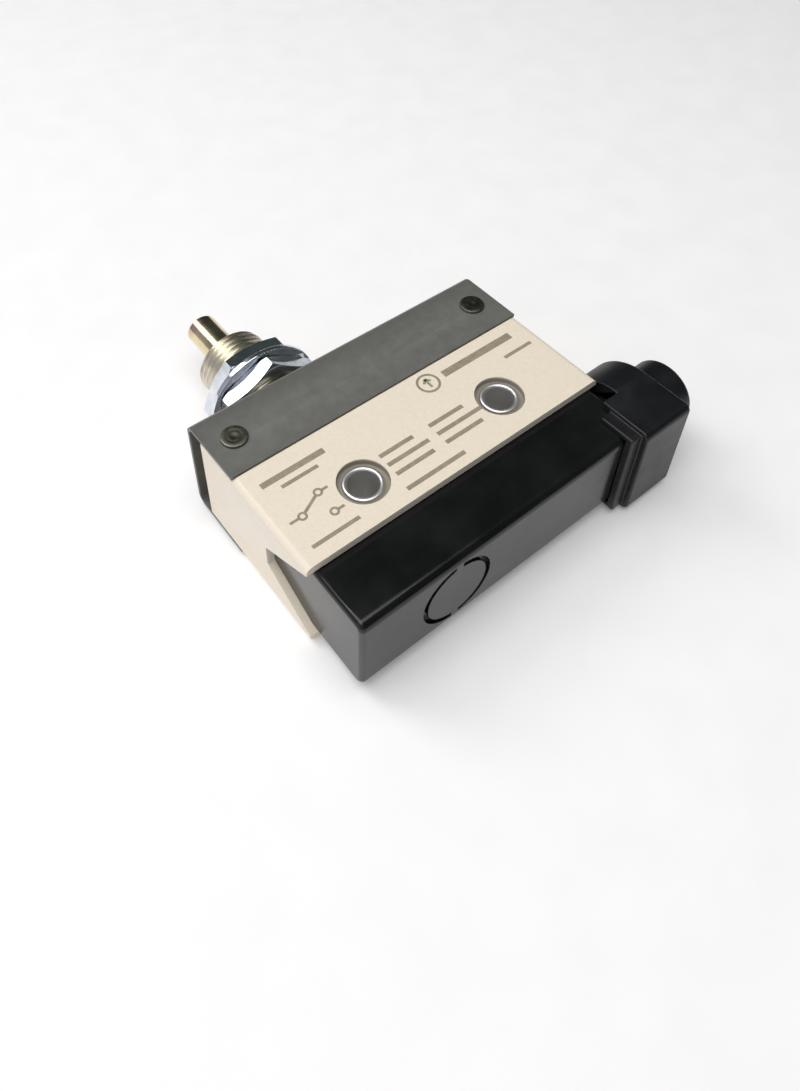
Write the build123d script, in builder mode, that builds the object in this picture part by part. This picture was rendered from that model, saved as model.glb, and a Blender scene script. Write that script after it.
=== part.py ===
from build123d import *
import os
from math import cos, radians, tan

# Enclosed limit switch with a panel-mount plunger, in millimetres.
# The switch lies on its back: X runs along the body towards the cable outlet,
# Y runs out along the plunger, Z points out of the front face.
# The origin is on the back face, midway between the two mounting holes.

os.makedirs("parts", exist_ok=True)

# ---------------------------------------------------------------- driving dimensions
body_width = 53.4
body_thickness = 17.5
mount_pitch = 25.4
mount_bore = 4.5
eyelet_outer = 6.0
counterbore_diameter = 7.5
counterbore_depth = 1.0
eyelet_inset = 0.35
corner_radius = 1.0

housing_top = 19.4
pocket_floor = 5.1
channel_ceiling = 3.4
channel_slot = 3.9
skirt_edge = -6.5
skirt_lip = 1.3
pillar_wall = 1.4
pocket_skin = 2.2
column_width = 6.35

cap_top = 23.2
cap_sheet = 0.6
cap_flange_edge = 11.1
cap_proud = 0.3
cap_back_recess = 0.05
cap_bend_radius = 1.0
rivet_inset = 4.1
rivet_y = 16.8
rivet_shank = 2.5
rivet_head = 4.0
rivet_head_height = 0.45
rivet_tail = 3.6

plunger_x = -10.95
thread_major = 12.0
bushing_tip = 38.4
bushing_flange_height = 1.6
spring_chamber = 9.0
guide_length = 2.9
seal_section = 1.35
seal_groove_width = 1.2
seal_round = 0.48
seal_groove_inset = 0.8
spring_seat_height = 1.0
spring_seat_inset = 0.5

plunger_diameter = 5.4
plunger_tip = 47.9
plunger_foot = 23.5
plunger_bore = 3.6
plunger_bore_end = 36.5
collar_height = 1.5
return_wire = 0.7
return_spring_gap = 0.3
return_turns = 7
overtravel_wire = 0.4
overtravel_turns = 8

nut_flats = 16.0
nut_height = 3.0
nut_standoff = 1.65
nut_countersink = 0.35
washer_diameter = 18.9
washer_height = 0.95
washer_edge_radius = 0.2
inner_nut_angle = 33.4
outer_nut_angle = 1.3

case_wall = 1.6
case_lid = 1.5
case_seal = 1.4
boss_radius = 1.7
boss_inset = 1.2
case_rivet = 1.6
case_rivet_head = 3.0
case_rivet_recess = 0.4
button_diameter = 3.2
button_collar = 4.8
button_collar_height = 1.1
pin_diameter = 3.0
pin_top = 29.0
strip = 0.8
leg_width = 3.0
leg_x = 17.8
terminal_plate_length = 6.2
terminal_plate_width = 6.0
terminal_plate_bottom = -1.8
com_arm_top = 10.9
com_arm_length = 1.7
blade_level = 10.5
blade_thickness = 0.3
blade_side_gap = 0.75
blade_slot = 3.7
blade_slot_end = -3.4
blade_end = 15.6
tongue_width = 3.0
tongue_end = -5.0
contact_x = 13.9
contact_diameter = 3.0
contact_shank = 1.6
moving_contact_height = 1.8
fixed_contact_height = 0.9
contact_gap = 0.8
arm_width = 4.0

screw_diameter = 2.9
screw_head = 5.4
screw_head_height = 2.0
screw_slot = 0.8
screw_slot_depth = 1.0
screw_top = 2.4
clamp_plate = 5.4
clamp_height = 0.8

cover_bottom = -16.4
cover_wall = 1.4
cover_recess = 1.4
cover_inboard = 1.1
cover_rim = -6.0
cover_edge_radius = 1.4
cover_corner_radius = 0.8
knockout_x = -9.6
knockout_diameter = 11.8
knockout_groove = 0.8
knockout_depth = 0.9
knockout_bridge = 1.2

outlet_y = -9.9
outlet_bore = 7.0
spigot_outer = 12.4
spigot_bore = 8.4
spigot_length = 5.4
boot_back_gap = 0.05
boot_bottom = -18.7
boot_lip_top = -10.1
boot_lip_overlap = 2.8
boot_step_overlap = 2.1
boot_step_drop = 1.6
boot_step_inset = 0.55
boot_step_rise = 1.1
boot_length = 7.1
boot_lip_round = 0.3
boot_edge_radius = 1.2
nozzle_diameter = 10.9
nozzle_length = 7.0

# ---------------------------------------------------------------- fits
running_gap = 0.05
slide_gap = 0.1
moulded_gap = 0.15
skirt_gap = 0.25
joint_gap = 0.1

# ---------------------------------------------------------------- derived places
mid_z = body_thickness / 2
half_width = body_width / 2
mount_x = mount_pitch / 2
rivet_x = half_width - rivet_inset
pocket_half = half_width - column_width
pocket_depth = body_thickness - 2 * pocket_skin
cap_front = body_thickness + cap_proud
web_inner = cap_top - cap_sheet
case_half = pocket_half - moulded_gap
case_depth = pocket_depth - 2 * slide_gap
case_back = mid_z - case_depth / 2
case_front = mid_z + case_depth / 2 - case_lid
case_bottom = pocket_floor
case_top = housing_top - case_seal
cavity_half = case_half - case_wall
cavity_floor = case_bottom + case_wall
cavity_ceiling = case_top - case_wall
blade_width = case_front - case_back - case_wall - 2 * blade_side_gap
bushing_foot = housing_top
guide_start = bushing_tip - guide_length
guide_radius = plunger_diameter / 2 + running_gap
collar_top = guide_start - slide_gap
collar_radius = spring_chamber / 2 - 2 * slide_gap
seat_bottom = bushing_foot + spring_seat_inset
seat_top = seat_bottom + spring_seat_height
inner_nut_foot = cap_top + nut_standoff
washer_foot = inner_nut_foot + nut_height + running_gap
outer_nut_foot = washer_foot + washer_height + running_gap
blade_top = blade_level + blade_thickness / 2
blade_start = -leg_x - strip / 2 + com_arm_length + joint_gap
button_foot = blade_top + joint_gap
button_top = case_top + 2 * slide_gap
moving_top = blade_level + moving_contact_height / 2
moving_bottom = blade_level - moving_contact_height / 2
nc_face = moving_top + joint_gap
no_face = moving_bottom - contact_gap
cover_half = half_width - cover_inboard
cover_side = mid_z - cover_recess
tongue_top = channel_ceiling - skirt_gap
skirt_slope = (mid_z - skirt_lip - channel_slot / 2) / (channel_ceiling - skirt_edge)
boot_start = half_width + skirt_gap
boot_radius = mid_z - boot_back_gap
boot_lip_start = half_width - boot_lip_overlap
boot_step_start = boot_lip_start - boot_step_overlap
boot_step_top = boot_lip_top - boot_step_drop
boot_step_bottom = boot_bottom + boot_step_rise
boot_end = half_width + boot_length
nozzle_end = boot_end + nozzle_length

# The three terminals: where the leg stands, and the side that the screw plate turns to.
terminals = {"com": (-leg_x, -1), "no": (0, 1), "nc": (leg_x, 1)}
screw_places = [x + side * terminal_plate_length / 2 for x, side in terminals.values()]


def channel_half(y):
    """Half the width of the flared channel under the housing, at height y."""
    return channel_slot / 2 + skirt_slope * (channel_ceiling - y)


def across(y):
    """A plane at height y that looks along +Y, centred on the plunger axis."""
    return Plane(origin=(plunger_x, y, mid_z), x_dir=(1, 0, 0), z_dir=(0, 1, 0))


def level(y):
    """A plane at height y that looks along -Y, with Z as its own upward direction."""
    return Plane(origin=(0, y, 0), x_dir=(1, 0, 0), z_dir=(0, -1, 0))


plunger_axis = Axis((plunger_x, 0, mid_z), (0, 1, 0))
turning_plane = Plane(origin=(plunger_x, 0, mid_z), x_dir=(1, 0, 0), z_dir=(0, 0, 1))
outlet_plane = Plane(origin=(0, outlet_y, mid_z), x_dir=(0, 1, 0), z_dir=(1, 0, 0))


def finish(builder, label):
    """Name a finished piece and write it to its own file."""
    builder.part.label = label
    export_step(builder.part, f"parts/{label}.step")
    print(f"{label}: {builder.part.volume:.1f} mm3")


# ---------------------------------------------------------------- moulded housing
# One moulding: a pocket for the switch unit above, a flared channel for the wiring
# below, and two pillars that carry the mounting eyelets across the channel.
with BuildPart() as housing:
    with BuildSketch(Plane.YZ):
        with BuildLine():
            Polyline(
                (skirt_edge, 0),
                (housing_top, 0),
                (housing_top, body_thickness),
                (skirt_edge, body_thickness),
                (skirt_edge, body_thickness - skirt_lip),
                (channel_ceiling, mid_z + channel_slot / 2),
                (channel_ceiling, mid_z - channel_slot / 2),
                (skirt_edge, skirt_lip),
                close=True,
            )
        make_face()
    extrude(amount=half_width, both=True)
    fillet(housing.edges().filter_by(Axis.Y), corner_radius)
    pillar_foot = skirt_lip
    with BuildSketch(Plane.XY.offset(pillar_foot)):
        with Locations((-mount_x, 0), (mount_x, 0)):
            Circle(eyelet_outer / 2 + pillar_wall)
    extrude(amount=body_thickness - 2 * pillar_foot)
    with BuildSketch(level(housing_top)):
        with Locations((0, mid_z)):
            Rectangle(2 * pocket_half, pocket_depth)
    extrude(amount=housing_top - pocket_floor, mode=Mode.SUBTRACT)
    with BuildSketch(level(pocket_floor)):
        for terminal_x, _ in terminals.values():
            with Locations((terminal_x, mid_z)):
                Rectangle(strip + 2 * moulded_gap, leg_width + 2 * moulded_gap)
    extrude(amount=pocket_floor - channel_ceiling, mode=Mode.SUBTRACT)
    seat_height = housing_top - cap_flange_edge + moulded_gap
    seat_middle = housing_top - seat_height / 2
    front_seat = cap_sheet - cap_proud + running_gap
    back_seat = cap_sheet + cap_back_recess + running_gap
    with BuildSketch(Plane.XY.offset(body_thickness - front_seat)):
        with Locations((0, seat_middle)):
            Rectangle(body_width, seat_height)
    extrude(amount=front_seat, mode=Mode.SUBTRACT)
    with BuildSketch(Plane.XY):
        with Locations((0, seat_middle)):
            Rectangle(body_width, seat_height)
    extrude(amount=back_seat, mode=Mode.SUBTRACT)
    with Locations((-mount_x, 0, body_thickness), (mount_x, 0, body_thickness)):
        CounterBoreHole(eyelet_outer / 2, counterbore_diameter / 2, counterbore_depth, body_thickness)
    with BuildSketch(Plane.XY):
        with Locations((-mount_x, 0), (mount_x, 0)):
            Circle(counterbore_diameter / 2)
    extrude(amount=counterbore_depth, mode=Mode.SUBTRACT)
    with Locations((-rivet_x, rivet_y, body_thickness), (rivet_x, rivet_y, body_thickness)):
        Hole(rivet_shank / 2 + running_gap, body_thickness)
finish(housing, "housing")

# ---------------------------------------------------------------- mounting eyelets
with BuildPart() as mounting_eyelets:
    eyelet_chamfer = 0.35
    eyelet_height = body_thickness - eyelet_inset - slide_gap
    with BuildSketch(Plane.XY.offset(slide_gap)):
        with Locations((-mount_x, 0), (mount_x, 0)):
            Circle(eyelet_outer / 2)
            Circle(mount_bore / 2, mode=Mode.SUBTRACT)
    extrude(amount=eyelet_height)
    bore_rims = mounting_eyelets.edges().filter_by(
        lambda edge: edge.geom_type == GeomType.CIRCLE and abs(edge.radius - mount_bore / 2) < 0.01
    )
    chamfer(bore_rims, eyelet_chamfer)
finish(mounting_eyelets, "mounting_eyelets")

# ---------------------------------------------------------------- folded sheet cap
with BuildPart() as top_cap:
    with BuildSketch(Plane.YZ):
        with BuildLine():
            Polyline(
                (cap_flange_edge, cap_back_recess),
                (cap_top, cap_back_recess),
                (cap_top, cap_front),
                (cap_flange_edge, cap_front),
                (cap_flange_edge, cap_front - cap_sheet),
                (web_inner, cap_front - cap_sheet),
                (web_inner, cap_back_recess + cap_sheet),
                (cap_flange_edge, cap_back_recess + cap_sheet),
                close=True,
            )
        make_face()
    extrude(amount=half_width, both=True)
    long_edges = top_cap.edges().filter_by(Axis.X).group_by(Axis.Y)
    fillet(long_edges[-1], cap_bend_radius + cap_sheet)
    inner_bends = top_cap.edges().filter_by(Axis.X).filter_by(
        lambda edge: abs(edge.center().Y - web_inner) < 0.01
        and min(abs(edge.center().Z - cap_front + cap_sheet),
                abs(edge.center().Z - cap_back_recess - cap_sheet)) < 0.01
    )
    fillet(inner_bends, cap_bend_radius)
    with BuildSketch(across(web_inner)):
        Circle(thread_major / 2 + running_gap)
    extrude(amount=cap_sheet, mode=Mode.SUBTRACT)
    with Locations((-rivet_x, rivet_y, cap_front), (rivet_x, rivet_y, cap_front)):
        Hole(rivet_shank / 2, body_thickness / 2)
    for side in (-1, 1):
        with BuildSketch(Plane(origin=(side * rivet_x, rivet_y, 0), x_dir=(1, 0, 0), z_dir=(0, -1, 0))):
            with BuildLine():
                Polyline(
                    (0, cap_back_recess),
                    (rivet_tail / 2, cap_back_recess),
                    (rivet_shank / 2, cap_back_recess + cap_sheet),
                    (0, cap_back_recess + cap_sheet),
                    close=True,
                )
            make_face()
        revolve(axis=Axis((side * rivet_x, rivet_y, 0), (0, 0, 1)), mode=Mode.SUBTRACT)
finish(top_cap, "top_cap")

# ---------------------------------------------------------------- rivets of the cap
with BuildPart() as cap_rivets:
    rivet_rim = 0.2
    dimple_radius = 0.7
    dimple_depth = 0.12
    for side in (-1, 1):
        with BuildSketch(Plane(origin=(side * rivet_x, rivet_y, 0), x_dir=(1, 0, 0), z_dir=(0, -1, 0))):
            with BuildLine():
                Polyline(
                    (0, cap_front + rivet_head_height - dimple_depth),
                    (0, cap_back_recess),
                    (rivet_tail / 2, cap_back_recess),
                    (rivet_shank / 2, cap_back_recess + cap_sheet),
                    (rivet_shank / 2, cap_front),
                    (rivet_head / 2, cap_front),
                    (rivet_head / 2, cap_front + rivet_rim),
                    (rivet_head / 2 - rivet_rim, cap_front + rivet_head_height),
                    (dimple_radius, cap_front + rivet_head_height),
                    close=True,
                )
            make_face()
        revolve(axis=Axis((side * rivet_x, rivet_y, 0), (0, 0, 1)))
finish(cap_rivets, "cap_rivets")

# ---------------------------------------------------------------- threaded bushing
# The thread is held here as the plain cylinder of its major diameter.
with BuildPart() as threaded_bushing:
    tip_chamfer = 0.5
    groove_top = bushing_tip - seal_groove_inset
    groove_foot = groove_top - seal_groove_width
    flange_foot = web_inner - bushing_flange_height
    flange_radius = mid_z - cap_back_recess - cap_sheet - cap_bend_radius - slide_gap
    groove_radius = guide_radius + seal_section
    with BuildSketch(turning_plane):
        with BuildLine():
            Polyline(
                (spring_chamber / 2, bushing_foot),
                (thread_major / 2, bushing_foot),
                (thread_major / 2, flange_foot),
                (flange_radius, flange_foot),
                (flange_radius, web_inner),
                (thread_major / 2, web_inner),
                (thread_major / 2, bushing_tip - tip_chamfer),
                (thread_major / 2 - tip_chamfer, bushing_tip),
                (guide_radius, bushing_tip),
                (guide_radius, groove_top),
                (groove_radius, groove_top),
                (groove_radius, groove_foot),
                (guide_radius, groove_foot),
                (guide_radius, guide_start),
                (spring_chamber / 2, guide_start),
                close=True,
            )
        make_face()
    revolve(axis=plunger_axis)
finish(threaded_bushing, "threaded_bushing")

with BuildPart() as plunger_seal:
    with BuildSketch(turning_plane):
        with Locations((guide_radius + seal_section / 2, groove_foot + seal_groove_width / 2)):
            RectangleRounded(seal_section, seal_groove_width, seal_round)
    revolve(axis=plunger_axis)
finish(plunger_seal, "plunger_seal")

with BuildPart() as spring_seat:
    with BuildSketch(across(seat_bottom)):
        Circle(spring_chamber / 2)
        Circle(plunger_diameter / 2 + moulded_gap, mode=Mode.SUBTRACT)
    extrude(amount=spring_seat_height)
finish(spring_seat, "spring_seat")

# ---------------------------------------------------------------- plunger
with BuildPart() as plunger:
    tip_break = 0.35
    collar_foot = collar_top - collar_height
    with BuildSketch(turning_plane):
        with BuildLine():
            Polyline(
                (plunger_bore / 2, plunger_foot),
                (plunger_diameter / 2, plunger_foot),
                (plunger_diameter / 2, collar_foot),
                (collar_radius, collar_foot),
                (collar_radius, collar_top),
                (plunger_diameter / 2, collar_top),
                (plunger_diameter / 2, plunger_tip - tip_break),
                (plunger_diameter / 2 - tip_break, plunger_tip),
                (0, plunger_tip),
                (0, plunger_bore_end),
                (plunger_bore / 2, plunger_bore_end),
                close=True,
            )
        make_face()
    revolve(axis=plunger_axis)
finish(plunger, "plunger")


# ---------------------------------------------------------------- springs
def coil(foot, top, outer, wire, turns):
    """A closed coil of round wire about the plunger axis, between two heights."""
    radius = (outer - wire) / 2
    rise = top - foot - wire
    with BuildPart() as spring:
        with BuildLine(across(foot + wire / 2)):
            path = Helix(pitch=rise / turns, height=rise, radius=radius, direction=(0, 1, 0))
        with BuildSketch(Plane(origin=path @ 0, z_dir=path % 0)):
            Circle(wire / 2)
        sweep()
    return spring


return_spring_outer = spring_chamber - 2 * return_spring_gap
finish(coil(seat_top, collar_foot, return_spring_outer, return_wire, return_turns), "return_spring")
finish(
    coil(pin_top, plunger_bore_end, plunger_bore - 2 * skirt_gap, overtravel_wire, overtravel_turns),
    "overtravel_spring",
)


# ---------------------------------------------------------------- nuts and washer
def hex_nut(foot, angle):
    """A hexagon nut on the bushing, its corners turned off at 30 degrees on both faces."""
    nut_corner = nut_flats / 2 / cos(radians(30))
    corner_drop = (nut_corner - nut_flats / 2) * tan(radians(30))
    bore = thread_major / 2 + running_gap
    with BuildPart() as nut:
        with BuildSketch(across(foot)):
            RegularPolygon(nut_flats / 2, 6, major_radius=False, rotation=angle)
        extrude(amount=nut_height)
        with BuildSketch(turning_plane):
            with BuildLine():
                Polyline(
                    (bore, foot + nut_countersink),
                    (bore + nut_countersink, foot),
                    (nut_flats / 2, foot),
                    (nut_corner, foot + corner_drop),
                    (nut_corner, foot + nut_height - corner_drop),
                    (nut_flats / 2, foot + nut_height),
                    (bore + nut_countersink, foot + nut_height),
                    (bore, foot + nut_height - nut_countersink),
                    close=True,
                )
            make_face()
        revolve(axis=plunger_axis, mode=Mode.INTERSECT)
    return nut


finish(hex_nut(inner_nut_foot, inner_nut_angle), "inner_hex_nut")
finish(hex_nut(outer_nut_foot, outer_nut_angle), "outer_hex_nut")

with BuildPart() as panel_washer:
    with BuildSketch(across(washer_foot)):
        Circle(washer_diameter / 2)
        Circle(thread_major / 2 + running_gap, mode=Mode.SUBTRACT)
    extrude(amount=washer_height)
    outer_rims = panel_washer.edges().filter_by(
        lambda edge: edge.geom_type == GeomType.CIRCLE and abs(edge.radius - washer_diameter / 2) < 0.01
    )
    fillet(outer_rims, washer_edge_radius)
finish(panel_washer, "panel_washer")

# ---------------------------------------------------------------- switch unit: case and lid
boss_places = [(side * (cavity_half - boss_inset), cavity_ceiling - boss_inset) for side in (-1, 1)]
with BuildPart() as switch_case:
    with BuildSketch(Plane.XY.offset(case_back)):
        with Locations((0, (case_bottom + case_top) / 2)):
            Rectangle(2 * case_half, case_top - case_bottom)
    extrude(amount=case_front - case_back)
    with BuildSketch(Plane.XY.offset(case_back + case_wall)):
        with Locations((0, (cavity_floor + cavity_ceiling) / 2)):
            Rectangle(2 * cavity_half, cavity_ceiling - cavity_floor)
    extrude(amount=case_front - case_back - case_wall, mode=Mode.SUBTRACT)
    with BuildSketch(Plane.XY.offset(case_back)):
        with Locations(*boss_places):
            Circle(boss_radius)
    extrude(amount=case_front - case_back)
    with BuildSketch(Plane.XY.offset(case_back)):
        with Locations(*boss_places):
            Circle(case_rivet / 2)
    extrude(amount=case_front - case_back, mode=Mode.SUBTRACT)
    with BuildSketch(Plane.XY.offset(case_back)):
        with Locations(*boss_places):
            Circle(case_rivet_head / 2)
    extrude(amount=case_rivet_recess, mode=Mode.SUBTRACT)
    with BuildSketch(level(cavity_floor)):
        for terminal_x, _ in terminals.values():
            with Locations((terminal_x, mid_z)):
                Rectangle(strip, leg_width)
    extrude(amount=case_wall, mode=Mode.SUBTRACT)
    with BuildSketch(across(cavity_ceiling)):
        Circle(button_diameter / 2 + running_gap)
    extrude(amount=case_wall, mode=Mode.SUBTRACT)
finish(switch_case, "switch_case")

with BuildPart() as switch_case_lid:
    with BuildSketch(Plane.XY.offset(case_front)):
        with Locations((0, (case_bottom + case_top) / 2)):
            Rectangle(2 * case_half, case_top - case_bottom)
        with Locations(*boss_places):
            Circle(case_rivet / 2, mode=Mode.SUBTRACT)
    extrude(amount=case_lid)
    with BuildSketch(Plane.XY.offset(case_front + case_lid - case_rivet_recess)):
        with Locations(*boss_places):
            Circle(case_rivet_head / 2)
    extrude(amount=case_rivet_recess, mode=Mode.SUBTRACT)
finish(switch_case_lid, "switch_case_lid")

with BuildPart() as case_rivets:
    with BuildSketch(Plane.XY.offset(case_back)):
        with Locations(*boss_places):
            Circle(case_rivet / 2)
    extrude(amount=case_depth)
    for head_foot in (case_back, case_front + case_lid - case_rivet_recess):
        with BuildSketch(Plane.XY.offset(head_foot)):
            with Locations(*boss_places):
                Circle(case_rivet_head / 2)
        extrude(amount=case_rivet_recess)
finish(case_rivets, "case_rivets")

with BuildPart() as cavity_seal:
    with BuildSketch(level(housing_top)):
        with Locations((0, mid_z)):
            Rectangle(2 * case_half, case_depth)
        with Locations((plunger_x, mid_z)):
            Circle(plunger_diameter / 2 + skirt_gap, mode=Mode.SUBTRACT)
    extrude(amount=case_seal)
finish(cavity_seal, "cavity_seal")

# ---------------------------------------------------------------- switch unit: actuator
with BuildPart() as switch_button:
    button_radius = button_diameter / 2
    button_collar_top = cavity_ceiling - slide_gap
    with BuildSketch(turning_plane):
        with BuildLine():
            foot_arc = CenterArc((0, button_foot + button_radius), button_radius, 270, 90)
            Polyline(
                foot_arc @ 1,
                (button_radius, button_collar_top - button_collar_height),
                (button_collar / 2, button_collar_top - button_collar_height),
                (button_collar / 2, button_collar_top),
                (button_radius, button_collar_top),
                (button_radius, button_top),
                (0, button_top),
                foot_arc @ 0,
            )
        make_face()
    revolve(axis=plunger_axis)
finish(switch_button, "switch_button")

with BuildPart() as actuator_pin:
    pin_break = 0.3
    with BuildSketch(across(button_top)):
        Circle(pin_diameter / 2)
    extrude(amount=pin_top - button_top)
    chamfer(actuator_pin.edges().group_by(Axis.Y)[-1], pin_break)
finish(actuator_pin, "actuator_pin")

with BuildPart() as actuating_tongue:
    with BuildSketch(level(blade_top)):
        with Locations(((blade_start + tongue_end) / 2, mid_z)):
            Rectangle(tongue_end - blade_start, tongue_width)
    extrude(amount=blade_thickness)
finish(actuating_tongue, "actuating_tongue")

with BuildPart() as snap_blade:
    with BuildSketch(level(blade_top)):
        with Locations(((blade_start + blade_end) / 2, mid_z)):
            Rectangle(blade_end - blade_start, blade_width)
        with Locations(((blade_start + blade_slot_end) / 2, mid_z)):
            Rectangle(blade_slot_end - blade_start, blade_slot, mode=Mode.SUBTRACT)
        with Locations((contact_x, mid_z)):
            Circle(contact_shank / 2, mode=Mode.SUBTRACT)
    extrude(amount=blade_thickness)
finish(snap_blade, "snap_blade")

with BuildPart() as moving_contact:
    with BuildSketch(level(moving_top)):
        with Locations((contact_x, mid_z)):
            Circle(contact_diameter / 2)
    extrude(amount=moving_top - blade_top)
    with BuildSketch(level(blade_top)):
        with Locations((contact_x, mid_z)):
            Circle(contact_shank / 2)
    extrude(amount=blade_thickness)
    with BuildSketch(level(blade_top - blade_thickness)):
        with Locations((contact_x, mid_z)):
            Circle(contact_diameter / 2)
    extrude(amount=moving_top - blade_top)
finish(moving_contact, "moving_contact")


# ---------------------------------------------------------------- terminals
def terminal(leg, side, arm_top, arm_reach, arm_depth, hole_at=None):
    """A bent strip: screw plate below, leg through the floor, contact arm above."""
    plate_near = leg - side * strip / 2
    plate_far = plate_near + side * terminal_plate_length
    with BuildPart() as bent_strip:
        with BuildSketch(level(terminal_plate_bottom + strip)):
            with Locations(((plate_near + plate_far) / 2, mid_z)):
                Rectangle(terminal_plate_length, terminal_plate_width)
            with Locations((leg + side * terminal_plate_length / 2, mid_z)):
                Circle(screw_diameter / 2 + running_gap, mode=Mode.SUBTRACT)
        extrude(amount=strip)
        with BuildSketch(level(arm_top)):
            with Locations((leg, mid_z)):
                Rectangle(strip, leg_width)
        extrude(amount=arm_top - terminal_plate_bottom)
        arm_near = leg - (1 if arm_reach > leg else -1) * strip / 2
        with BuildSketch(level(arm_top)):
            with Locations(((arm_near + arm_reach) / 2, mid_z)):
                Rectangle(abs(arm_reach - arm_near), arm_depth)
            if hole_at is not None:
                with Locations((hole_at, mid_z)):
                    Circle(contact_shank / 2, mode=Mode.SUBTRACT)
        extrude(amount=strip)
    return bent_strip


def fixed_contact(face, arm_face, arm_side):
    """A riveted contact: a round face against the arm, and a shank through the arm."""
    lower, upper = min(face, arm_face), max(face, arm_face)
    with BuildPart() as contact:
        with BuildSketch(level(upper)):
            with Locations((contact_x, mid_z)):
                Circle(contact_diameter / 2)
        extrude(amount=upper - lower)
        with BuildSketch(level(max(arm_face, arm_face + arm_side * strip))):
            with Locations((contact_x, mid_z)):
                Circle(contact_shank / 2)
        extrude(amount=strip)
    return contact


contact_overhang = 0.2
nc_arm_foot = nc_face + fixed_contact_height
no_arm_top = no_face - fixed_contact_height
arm_reach_x = contact_x - contact_diameter / 2 - contact_overhang
com_reach = blade_start - joint_gap
finish(terminal(*terminals["com"], com_arm_top, com_reach, blade_width), "com_terminal")
finish(
    terminal(*terminals["no"], no_arm_top, contact_x + contact_diameter / 2, arm_width, contact_x),
    "no_terminal",
)
finish(
    terminal(*terminals["nc"], nc_arm_foot + strip, arm_reach_x, arm_width, contact_x),
    "nc_terminal",
)
finish(fixed_contact(no_face, no_arm_top, -1), "no_contact")
finish(fixed_contact(nc_face, nc_arm_foot, 1), "nc_contact")

with BuildPart() as clamp_washers:
    with BuildSketch(level(terminal_plate_bottom)):
        for screw_x in screw_places:
            with Locations((screw_x, mid_z)):
                Rectangle(clamp_plate, clamp_plate)
                Circle(screw_diameter / 2 + running_gap, mode=Mode.SUBTRACT)
    extrude(amount=clamp_height)
finish(clamp_washers, "clamp_washers")

with BuildPart() as terminal_screws:
    head_top = terminal_plate_bottom - clamp_height
    with BuildSketch(level(screw_top)):
        for screw_x in screw_places:
            with Locations((screw_x, mid_z)):
                Circle(screw_diameter / 2)
    extrude(amount=screw_top - head_top)
    with BuildSketch(level(head_top)):
        for screw_x in screw_places:
            with Locations((screw_x, mid_z)):
                Circle(screw_head / 2)
    extrude(amount=screw_head_height)
    with BuildSketch(level(head_top - screw_head_height + screw_slot_depth)):
        for screw_x in screw_places:
            with Locations((screw_x, mid_z)):
                Rectangle(screw_head, screw_slot)
                Rectangle(screw_slot, screw_head)
    extrude(amount=screw_slot_depth, mode=Mode.SUBTRACT)
finish(terminal_screws, "terminal_screws")

# ---------------------------------------------------------------- terminal cover
# A tray that closes the wiring space. A tongue at each end fills the flared channel.
shoulder_y = channel_ceiling - (cover_side + skirt_gap - channel_slot / 2) / skirt_slope
tongue_half = channel_half(tongue_top) - skirt_gap
with BuildPart() as terminal_cover:
    with BuildSketch(Plane.YZ):
        with BuildLine():
            Polyline(
                (cover_bottom, mid_z - cover_side),
                (shoulder_y, mid_z - cover_side),
                (tongue_top, mid_z - tongue_half),
                (tongue_top, mid_z + tongue_half),
                (shoulder_y, mid_z + cover_side),
                (cover_bottom, mid_z + cover_side),
                close=True,
            )
        make_face()
    extrude(amount=cover_half, both=True)
    fillet(terminal_cover.edges().filter_by(Axis.X).group_by(Axis.Y)[0], cover_edge_radius)
    fillet(terminal_cover.edges().filter_by(Axis.Y), cover_corner_radius)
    inner_floor = cover_bottom + cover_wall
    inner_half = cover_half - cover_wall
    with BuildSketch(Plane.YZ):
        with Locations(((inner_floor + tongue_top) / 2, mid_z)):
            Rectangle(tongue_top - inner_floor, 2 * (cover_side - cover_wall))
        with Locations(((cover_rim + tongue_top) / 2, mid_z)):
            Rectangle(tongue_top - cover_rim, 2 * cover_side)
    extrude(amount=inner_half, both=True, mode=Mode.SUBTRACT)
    with BuildSketch(outlet_plane.offset(cover_half - cover_wall)):
        Circle(spigot_outer / 2)
    extrude(amount=cover_wall + spigot_length)
    with BuildSketch(outlet_plane.offset(cover_half - cover_wall)):
        Circle(spigot_bore / 2)
    extrude(amount=cover_wall + spigot_length, mode=Mode.SUBTRACT)
    with BuildSketch(level(cover_bottom + knockout_depth)):
        with Locations((knockout_x, mid_z)):
            Circle(knockout_diameter / 2)
            Circle(knockout_diameter / 2 - knockout_groove, mode=Mode.SUBTRACT)
            Rectangle(knockout_bridge, knockout_diameter, mode=Mode.SUBTRACT)
    extrude(amount=knockout_depth, mode=Mode.SUBTRACT)
finish(terminal_cover, "terminal_cover")

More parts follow.
